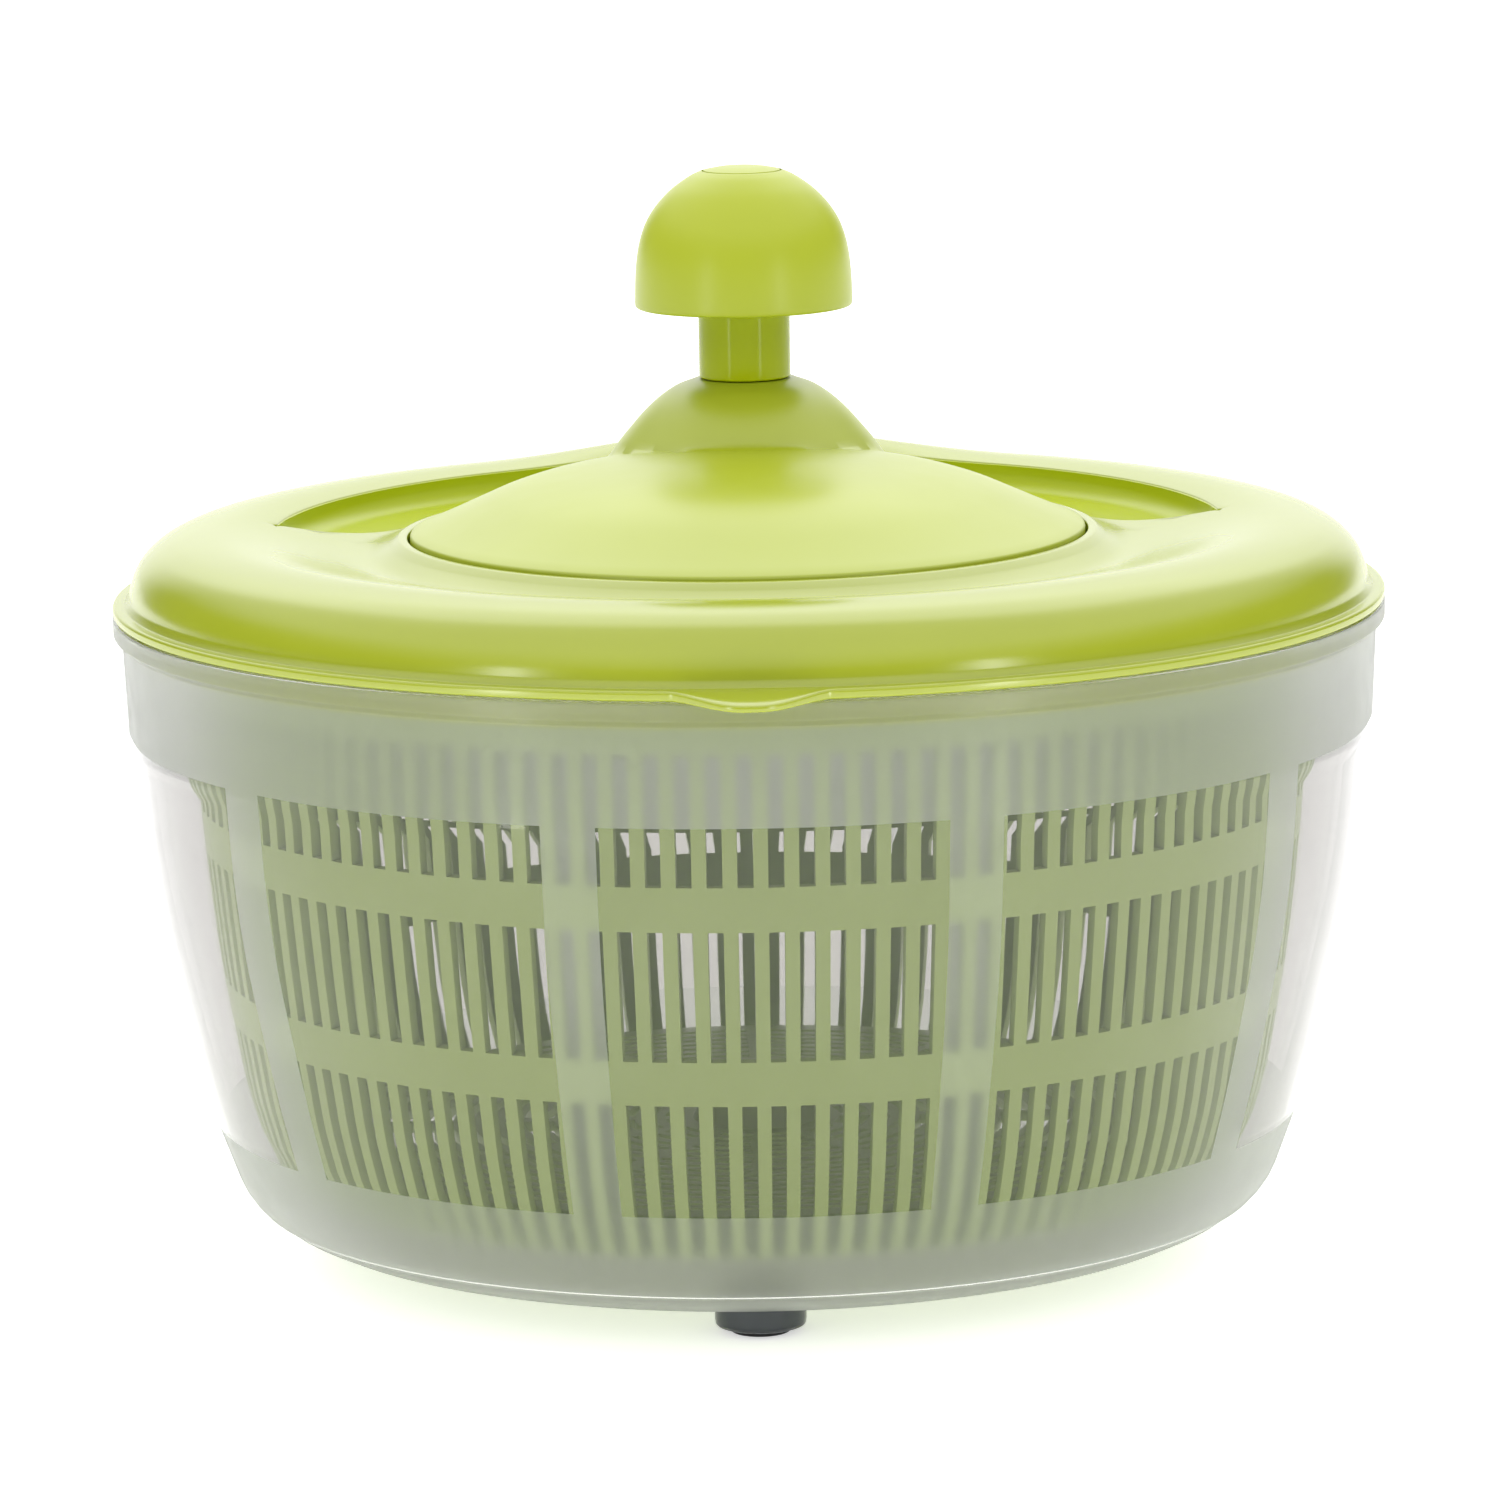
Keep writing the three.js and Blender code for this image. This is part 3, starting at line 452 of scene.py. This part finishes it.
def basket_rows():
    """Outline points under and over the wall, from the hub to the rim, and which rows have slots."""
    hub_under = [(0, 34), (6.5, 33.4), (6.5, 16.6), (9, 16.6), (9, 23.4)]
    hub_over = [(0, 36.6), (9.2, 35.3), (9.8, 34.2), (12, 27.2), (12.8, 25.6)]
    radii = [14.5]
    slots = [""] * 6
    for ring in range(FLOOR_RINGS):
        start = FLOOR_FIRST + ring * FLOOR_PITCH
        radii += [start, start + FLOOR_SLIT]
        slots += ["", "floor"]
    middle = [(r, FLOOR_MIDDLE) for r in radii]
    corner = rounded([(86, FLOOR_MIDDLE), (88.2, FLOOR_MIDDLE, 1.6), (89.6, 19.2, 1.6),
                      (93.6, 19.2, 4.5), BASKET_SIDE[0]])
    middle += [tuple(p) for p in corner[:-1]]
    slots += ["" if p[0] < FOOT_STEP else "wall" for p in corner[:-1]]
    dense = curve(BASKET_SIDE, 12)
    heights = sorted({h for row in SLOT_ROWS for h in row if h > WALL_HEIGHTS[0]} | set(WALL_HEIGHTS))
    for h in heights:
        middle.append((float(np.interp(h, dense[:, 1], dense[:, 0])), h))
        slots.append("wall" if any(a < h - 0.01 <= b for a, b in SLOT_ROWS) else "")
    middle = np.array(middle)
    along = np.gradient(middle, axis=0)
    outward = np.stack([along[:, 1], -along[:, 0]], -1)
    outward /= np.linalg.norm(outward, axis=1)[:, None]
    under = np.vstack([hub_under, middle + outward * BASKET_WALL / 2])
    over = np.vstack([hub_over, middle - outward * BASKET_WALL / 2])
    return under, over, slots


def spoke_reach(r):
    """How many columns on each side of a spoke's middle stay solid at a radius."""
    return 2 if r < 30 else 1 if r < 52 else 0


def make_basket():
    under, over, slots = basket_rows()
    rows = len(under)
    columns = 2 * RIBS
    pitch = 2 * math.pi / RIBS
    angles = np.array([(i // 2 + (RIB_SHARE if i % 2 else 0)) * pitch for i in range(columns)])
    points = np.vstack([round_points(angles, under), round_points(angles, over)])
    top = columns * rows
    per_spoke = columns // SPOKES

    def solid(i, k):
        if k < 0 or k >= rows - 1:
            return False
        kind = slots[k + 1] if k + 1 < len(slots) else ""
        if kind == "wall":
            return i % 2 == 0
        if kind == "floor":
            offset = (i % columns) % per_spoke
            return min(offset, per_spoke - offset) <= spoke_reach(under[k, 0])
        return True

    faces = []
    for i in range(columns):
        ahead = (i + 1) % columns
        for k in range(rows - 1):
            if not solid(i, k):
                continue
            a, b, c, d = i * rows + k, ahead * rows + k, ahead * rows + k + 1, i * rows + k + 1
            faces.append((a, b, c, d))
            faces.append((top + d, top + c, top + b, top + a))
            if not solid(ahead, k):
                faces.append((c, b, top + b, top + c))
            if not solid((i - 1) % columns, k):
                faces.append((a, d, top + d, top + a))
            if not solid(i, k + 1):
                faces.append((d, c, top + c, top + d))
            if k > 0 and not solid(i, k - 1):
                faces.append((b, a, top + a, top + b))
    basket = build("basket_moulding", points, faces, [BASKET])
    place(basket, "basket", "basket_plastic", "basket")


# ------------------------------------------------------------------ lid

SEAM = 143.2  # height of the lid's opening and of the disc's rim
WELL = 66.9
LID_SKIN = 2.2
CREST = 104
HUMP_HEIGHT = 4.2
HUMP_HALF_ANGLE = math.radians(31)
HUMP_REACH = 15
RECESS_OUTER = 94
RECESS_SHIFT = 3
RECESS_INNER = 76
RECESS_FLOOR = 139
RECESS_TIP = 13.5
RECESS_SHOULDER = math.radians(32)
RECESS_BELLY = 23
RECESS_FILLET = 6.5
RECESS_LEAST = 1.2  # narrowest the recess gets, at its two ends
TAB_REACH = 9
TAB_HALF_WIDTH = 15

COLLAR_MIDDLE = (70.6, 141.9)
LID_DISH = [  # top of the lid from the foot of its collar to the crest
    (73.4, 140.4), (76.4, 139.9), (80, 140.3), (86, 141.7), (96, 144.2), (CREST, 145.1),
]
LID_SHOULDER = [
    (CREST, 145.1), (111, 144.4), (115.2, 142.9), (118, 140.9), (120, 138.5), (121.3, 135.4),
    (121.8, 132.9),
]


def lid_angles():
    """Angles of the lid's columns, closer together at the tab and at the ends of the recess."""
    fine = [(-99, -81, 0.5), (3, 13, 0.4), (167, 177, 0.4)]
    angles = set(np.round(np.arange(-90, 270, 1.0), 3))
    for start, end, step in fine:
        angles |= set(np.round(np.arange(start, end, step), 3) % 360)
    return np.radians(sorted(a % 360 for a in {round(a % 360, 3) for a in angles}))


def recess_edges(angles):
    """Inner and outer radius of the finger recess at each angle, and how deep it is there, from 0 to 1."""
    start = math.asin((RECESS_TIP - RECESS_SHIFT) / RECESS_OUTER)
    tip = np.array([RECESS_OUTER * math.cos(start), RECESS_TIP])
    shoulder = RECESS_INNER * np.array([math.cos(RECESS_SHOULDER), math.sin(RECESS_SHOULDER)])
    belly = np.array([(tip[0] + shoulder[0]) / 2, shoulder[1] - RECESS_BELLY])
    t = np.linspace(0, 1, 60)[:, None]
    wall = (1 - t) ** 2 * tip + 2 * t * (1 - t) * belly + t ** 2 * shoulder
    wall_angle = np.arctan2(wall[:, 1], wall[:, 0])
    wall_radius = np.hypot(wall[:, 0], wall[:, 1])
    folded = np.abs(np.mod(angles + math.pi / 2, 2 * math.pi) - math.pi)  # 0 at the back
    turn = math.pi / 2 - folded  # 90 degrees at the back, 0 at either side
    tip_angle = wall_angle[0]
    outer = RECESS_SHIFT * np.sin(turn) + np.sqrt(RECESS_OUTER ** 2 - (RECESS_SHIFT * np.cos(turn)) ** 2)
    inner = np.interp(turn, wall_angle, wall_radius)
    inner = np.minimum(inner, outer - RECESS_LEAST)
    beyond = smoothstep((tip_angle - turn) / math.radians(14))
    middle = wall_radius[0]
    outer = np.where(turn < tip_angle, middle + RECESS_LEAST / 2 + beyond * 3, outer)
    inner = np.where(turn < tip_angle, middle - RECESS_LEAST / 2 - beyond * 12, inner)
    depth = smoothstep((turn - tip_angle) / math.radians(1.2) + 1)
    return inner, outer, depth


def dish_height(r):
    """Height of the dish, smooth where it meets the collar before it and the shoulder after it."""
    dense = curve([COLLAR_MIDDLE] + LID_DISH + LID_SHOULDER[1:3], 80)
    return np.interp(r, dense[:, 0], dense[:, 1])


def hump(angles, r):
    """Rise of the crest behind the disc."""
    turn = np.abs(np.mod(angles + math.pi / 2, 2 * math.pi) - math.pi)
    along = np.cos(np.minimum(turn / HUMP_HALF_ANGLE, 1) * math.pi / 2) ** 2
    across = np.cos(np.minimum(np.abs(r - CREST) / HUMP_REACH, 1) * math.pi / 2) ** 2
    return HUMP_HEIGHT * along * across


def pocket(inset, drop):
    """Depth of the recess at a distance in from its edge: rounded lip, steep wall, hollow fillet."""
    lip = 0.5
    draft = 0.35
    fillet = np.minimum(RECESS_FILLET, np.maximum(drop - 0.1, 0.05))
    over = np.clip(inset + lip, 0, lip)
    edge = (lip - np.sqrt(np.maximum(lip ** 2 - over ** 2, 0))) * 0.45
    wall = edge + np.clip(inset / draft, 0, 1) * np.maximum(drop - fillet - 0.22, 0)
    into = np.clip((inset - draft) / RECESS_FILLET, 0, 1)
    floor = drop - fillet * (1 - np.sqrt(np.maximum(1 - (1 - into) ** 2, 0)))
    return np.where(inset < draft, np.minimum(wall, drop), np.minimum(np.maximum(floor, wall), drop))


BEFORE = 4  # rows between the collar and the recess
AFTER = 6  # rows between the recess and the crest


def dish_stations(inner, outer):
    """Radii of the rows between the collar and the crest: close together at the edges of the recess."""
    edge = np.array([-0.5, -0.32, -0.15, 0, 0.12, 0.24, 0.35, 0.7, 1.2, 1.8, 2.6, 3.6, 5.0, 6.85])
    squeeze = np.minimum(1, (outer - inner) / 2 / 6.9)[:, None]
    start = LID_DISH[0][0]
    near = inner[:, None] + edge * squeeze
    far = outer[:, None] - edge[::-1] * squeeze
    before = start + (near[:, :1] - start) * np.linspace(0, 1, BEFORE + 1)[:-1]
    between = near[:, -1:] + (far[:, :1] - near[:, -1:]) * np.linspace(0, 1, 9)[1:-1]
    after = far[:, -1:] + (CREST - far[:, -1:]) * np.linspace(0, 1, AFTER + 1)[1:]
    return np.hstack([before, near, between, far, after])


def lid_top(angles, r, inner, outer, depth, margin=0.0):
    """Height of the dish with its recess. A margin widens the recess, for the lid's underside."""
    surface = dish_height(r) + hump(angles[:, None], r)
    inset = np.minimum(r - inner[:, None], outer[:, None] - r) + margin
    drop = np.maximum(surface - RECESS_FLOOR, 0)
    return surface - depth[:, None] * pocket(inset, drop)


def tab_reach(angles):
    """How far the flange's edge stands out at each angle, for the thumb tab at the front."""
    rim = radius("bowl")
    across = np.abs(rim * np.cos(angles)) / TAB_HALF_WIDTH
    front = np.sin(angles) < 0
    shape = smoothstep(1.08 * (1 - across)) ** 0.8
    return np.where(front & (across < 1), TAB_REACH * shape, 0)


def make_lid():
    rim = radius("bowl")
    flange_low, flange_top = 129.9, 131.8
    angles = lid_angles()
    inner, outer, depth = recess_edges(angles)
    stations = dish_stations(inner, outer)
    top = np.stack([stations, lid_top(angles, stations, inner, outer, depth)], -1)
    under_z = lid_top(angles, stations, inner, outer, depth, LID_SKIN) - LID_SKIN
    under = np.stack([stations, under_z], -1)
    shoulder = curve(LID_DISH[-2:-1] + LID_SHOULDER, 4)[5:]

    def raised(outline):
        """One outline for every column, with the hump's rise."""
        paths = np.repeat(outline[None], len(angles), 0)
        paths[..., 1] += hump(angles[:, None], outline[:, 0])
        return paths

    def reaching(outline):
        """The flange, pulled out to the tab's edge where the tab is."""
        paths = np.repeat(outline[None], len(angles), 0)
        share = np.clip((outline[:, 0] - 122.6) / (rim - 122.6), 0, 1)
        reach = tab_reach(angles)[:, None]
        paths[..., 0] += reach * share
        paths[..., 1] -= 0.1 * reach * share
        return paths

    collar = rounded([LID_DISH[0], (*COLLAR_MIDDLE, 4), (68.6, SEAM, 1.2), (WELL, SEAM, 0.4),
                      (WELL, 141)])[1:]
    well = rounded([(WELL, 134), (WELL, 128.2, 0.6), (8.3, 128.2), (8.3, 126), (WELL + 2.1, 126, 0.5),
                    (WELL + 2.1, 137)])
    inside = np.array([(r - LID_SKIN * 0.9, z - LID_SKIN * 0.8) for r, z in shoulder[:-2]])
    skirt = rounded([(118.4, 133), (118.4, 124, 0.4), (120.4, 124, 0.4), (120.4, flange_low)])
    flange = rounded([(121.4, flange_low), (rim, flange_low, 0.5), (rim, flange_top, 0.7),
                      (122.7, flange_top, 0.5), (shoulder[-1][0], shoulder[-1][1] + 0.4)])[:-1]
    paths = np.concatenate([
        raised(well), under, raised(inside), raised(skirt), reaching(flange),
        raised(shoulder[::-1]), top[:, ::-1], raised(collar),
    ], 1)
    points = round_points(angles, paths)
    rows = paths.shape[1]
    first = rows - len(collar) - stations.shape[1]
    in_pocket = [BEFORE + 3 <= stations.shape[1] - 1 - (k - first) <= stations.shape[1] - AFTER - 4
                 for k in range(rows)]
    which = [int(in_pocket[k] and depth[i] > 0.5) for i in range(len(angles)) for k in range(rows)]
    lid = build("lid_moulding", points, ring_faces(len(angles), rows, True), [LID, POCKET], which)
    place(lid, "lid", "lid_plastic", "lid_shell")


# ------------------------------------------------------------------ crank

DISC_RIM = 66.4
DOME = [(0, 157.9), (8, 157.8), (16, 157.4), (24, 156.7), (32, 155.7), (40, 154.2), (48, 151.7),
        (54, 149.1), (60, 146.4), (64, 144.7), (65.9, 143.95)]
HILL = [(0, 169.2), (9.2, 169.1), (10.6, 168.8), (14.1, 167.5), (17.6, 165.1), (20.5, 162.4), (22.8, 159.8),
        (25, 157.2), (27, 154.5), (29, 151.4), (31, 147.7), (33, 143), (36, 134), (46, 100)]
HILL_BLEND = 0.2  # how far the line where hill and dome meet is rounded over


def soft_max(a, b, soft):
    """The larger of two heights, rounded where they cross."""
    near = np.clip(0.5 + (a - b) / (2 * soft), 0, 1)
    return near * a + (1 - near) * b + soft * near * (1 - near)


def disc_height(x, y):
    dome, hill = curve(DOME, 40), curve(HILL, 40)
    on_dome = np.interp(np.hypot(x, y), dome[:, 0], dome[:, 1])
    on_hill = np.interp(np.hypot(x, y - CRANK_ARM), hill[:, 0], hill[:, 1])
    return soft_max(on_hill, on_dome, HILL_BLEND)


def make_disc():
    """Crank disc as a grid round the knob's axis, so that the hill's rings are round."""
    columns = 240
    angles = np.arange(columns) * 2 * math.pi / columns
    toward = CRANK_ARM * np.sin(angles)
    reach = -toward + np.sqrt(DISC_RIM ** 2 - (CRANK_ARM * np.cos(angles)) ** 2)
    bore = 6.8
    foot = np.minimum(34, reach - 1.6)[:, None]
    edge = reach[:, None] - 0.45
    on_hill = bore + (foot - bore) * np.linspace(0, 1, 26)
    beyond = foot + (edge - foot) * np.linspace(0, 1, 22)[1:]
    rho = np.hstack([on_hill, beyond])

    def lifted(rho, drop=0.0):
        x = rho * np.cos(angles)[:, None]
        y = rho * np.sin(angles)[:, None] + CRANK_ARM
        return np.stack([x, y, disc_height(x, y) - drop], -1)

    def level(distance, height):
        distance = np.broadcast_to(distance, (columns, 1))
        x = distance * np.cos(angles)[:, None]
        y = distance * np.sin(angles)[:, None] + CRANK_ARM
        return np.stack([x, y, np.full_like(x, height)], -1)

    rim = reach[:, None]
    skin = 2
    inner = np.minimum(rho, rim - skin)
    grid = np.concatenate([
        lifted(rho), level(rim - 0.25, 143.8), level(rim - 0.08, 143.6), level(rim, 143.3), level(rim, 141),
        level(rim - skin, 141),
        lifted(inner[:, ::-1], skin),
    ], 1)
    disc = build("disc_moulding", grid.reshape(-1, 3), ring_faces(columns, grid.shape[1], True), [DISC])
    place(disc, "crank", "lid_plastic", "crank_disc")


def make_post():
    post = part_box("knob_post")
    spigot_top = post[1].z / MM
    outline = rounded([(2.3, 159), (6.5, 159), (6.5, 169.4), (9.2, 169.3, 0.4), (9.2, 183, 0.4), (6, 183),
                       (6, spigot_top, 0.4), (2.3, spigot_top), (2.3, 160)])
    piece = turned("knob_post_moulding", outline[:-1], GLOSS, 96, CRANK_ARM, closed=True)
    place(piece, "crank", "post_gloss", "knob_post")


def make_knob():
    lip = low("knob")
    top = high("knob_cap")
    wall = radius("knob")
    cap = 7.7
    side = curve([(wall - 0.02, lip + 0.9), (wall - 0.08, lip + 4), (wall - 0.28, lip + 7.5),
                  (wall - 0.65, lip + 10.7), (wall - 1.3, lip + 13.8), (wall - 2.3, lip + 16.6),
                  (wall - 3.7, lip + 19.1), (wall - 5.5, lip + 21.4), (wall - 7.9, lip + 23.7),
                  (wall - 11.2, lip + 26.0), (cap + 0.7, lip + 27.05)], 5)
    outline = np.vstack([
        rounded([(6.4, lip), (9, lip, 0.5), (9, lip + 12, 1.5), (14, lip + 16, 3), (18.8, lip + 11, 3),
                 (wall - 2.2, lip, 0.6), (wall - 0.1, lip, 0.5), (wall - 0.05, lip + 0.7)]),
        side,
        rounded([(cap + 0.3, lip + 27.15), (cap + 0.25, lip + 26.5), (cap + 0.25, lip + 23.8),
                 (7.2, lip + 23.8), (7.2, 196.9), (6.4, 196.9)]),
    ])
    shell = turned("knob_moulding", outline, KNOB, 160, CRANK_ARM, closed=True)
    place(shell, "knob", "knob_plastic", "knob")
    button = rounded([(0, lip + 24.4), (cap, lip + 24.4), (cap, top - 0.75, 0.25), (4.5, top - 0.12, 12),
                      (0, top)])
    plug = turned("knob_cap_moulding", button, KNOB, 96, CRANK_ARM)
    place(plug, "knob", "knob_plastic", "knob_cap")


# ------------------------------------------------------------------ pieces that keep their CAD shape

CARRIED = {
    GEAR: ("pivot_bush", "hub_bush", "idler_gear_1", "idler_gear_2", "idler_gear_3", "sun_gear",
           "ring_gear"),
    STEEL: ("pivot_pin", "idler_pin_1", "idler_pin_2", "idler_pin_3", "drive_washer", "centre_pin",
            "pin_circlip", "knob_washer", "knob_screw"),
    BASKET: ("drive_plate",),
}


def dress_carried():
    for material, names in CARRIED.items():
        for name in names:
            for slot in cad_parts[name].material_slots:
                slot.material = material


# ------------------------------------------------------------------ studio


FLOOR_GLOW = 0.55
SURROUND_LOW = 0.12
SURROUND_HIGH = 1.05
SOFTBOX = 1.35
STRIP_POWER = 0.4
STRIP_X, STRIP_Y, STRIP_Z = 0.46, -0.53, 0.17
STRIP_SIZE = (0.06, 0.3)


def make_floor():
    """A pale light table: matt, with some light of its own, so that shadows on it stay faint."""
    nodes = Nodes("studio_floor")
    nodes.mottle(2, 2, (0.92, 0.92, 0.92, 1), (0.9, 0.9, 0.9, 1))
    nodes.fix(Roughness=0.9, Emission_Color=(1, 1, 1, 1), Emission_Strength=FLOOR_GLOW)
    bpy.ops.mesh.primitive_plane_add(size=40, location=(0, 0, 0))
    floor = bpy.context.object
    floor.name = "studio_floor"
    floor.data.materials.append(nodes.material)


def area_light(name, position, size, power, target=(0, 0, 0.17)):
    data = bpy.data.lights.new(name, "AREA")
    data.shape = "RECTANGLE"
    data.size, data.size_y = size
    data.energy = power
    lamp = bpy.data.objects.new(name, data)
    lamp.location = position
    lamp.rotation_mode = "QUATERNION"
    lamp.rotation_quaternion = (Vector(target) - Vector(position)).to_track_quat("-Z", "Y")
    bpy.context.scene.collection.objects.link(lamp)


def ramp(tree, value, start, end, least, most):
    """A smooth step from least to most as a value goes from start to end."""
    node = tree.nodes.new("ShaderNodeMapRange")
    node.interpolation_type = "SMOOTHSTEP"
    node.inputs["From Min"].default_value = start
    node.inputs["From Max"].default_value = end
    node.inputs["To Min"].default_value = least
    node.inputs["To Max"].default_value = most
    tree.links.new(value, node.inputs["Value"])
    return node.outputs["Result"]


def make_world():
    """A soft studio: a dim surround with light from above, and one large softbox behind."""
    world = bpy.data.worlds.new("studio")
    bpy.context.scene.world = world
    world.use_nodes = True
    tree = world.node_tree
    background = tree.nodes["Background"]
    background.inputs["Color"].default_value = (1, 1, 1, 1)
    where = tree.nodes.new("ShaderNodeTexCoord").outputs["Generated"]
    split = tree.nodes.new("ShaderNodeSeparateXYZ")
    tree.links.new(where, split.inputs["Vector"])
    above = ramp(tree, split.outputs["Z"], 0.25, 0.65, SURROUND_LOW, SURROUND_LOW + SURROUND_HIGH)
    off_centre = tree.nodes.new("ShaderNodeMath")
    off_centre.operation = "ABSOLUTE"
    tree.links.new(split.outputs["X"], off_centre.inputs[0])
    across = ramp(tree, off_centre.outputs["Value"], 0.3, 0.6, SOFTBOX, 0)
    behind = ramp(tree, split.outputs["Y"], 0.1, 0.45, 0, 1)
    total = tree.nodes.new("ShaderNodeMath")
    total.operation = "MULTIPLY_ADD"
    tree.links.new(across, total.inputs[0])
    tree.links.new(behind, total.inputs[1])
    tree.links.new(above, total.inputs[2])
    tree.links.new(total.outputs["Value"], background.inputs["Strength"])


def make_strips():
    """Two narrow upright lamps in front, which draw the pale lines on the knob's post."""
    for name, side in (("strip_left", -1), ("strip_right", 1)):
        area_light(name, (side * STRIP_X, STRIP_Y, STRIP_Z), STRIP_SIZE, STRIP_POWER)


LENS = 191.6
CAMERA_REACH = 1.555
CAMERA_HEIGHT = 0.3698
CAMERA_PITCH = math.radians(9.872)
CAMERA_ROLL = math.radians(-0.96)


def make_camera():
    data = bpy.data.cameras.new("camera")
    data.lens = LENS
    data.sensor_width = 36
    camera = bpy.data.objects.new("camera", data)
    camera.location = (-0.00025, AXIS_Y - CAMERA_REACH, CAMERA_HEIGHT)
    camera.rotation_mode = "QUATERNION"
    look = Euler((math.pi / 2 - CAMERA_PITCH, 0, 0)).to_quaternion()
    camera.rotation_quaternion = look @ Euler((0, 0, CAMERA_ROLL)).to_quaternion()
    bpy.context.scene.collection.objects.link(camera)
    bpy.context.scene.camera = camera


def set_view():
    scene = bpy.context.scene
    scene.view_settings.view_transform = "Standard"
    scene.cycles.transparent_max_bounces = 16
    scene.cycles.transmission_bounces = 16
    scene.cycles.max_bounces = 16


make_bowl()
make_feet()
make_basket()
make_lid()
make_disc()
make_post()
make_knob()
dress_carried()
make_floor()
make_world()
make_strips()
make_camera()
set_view()
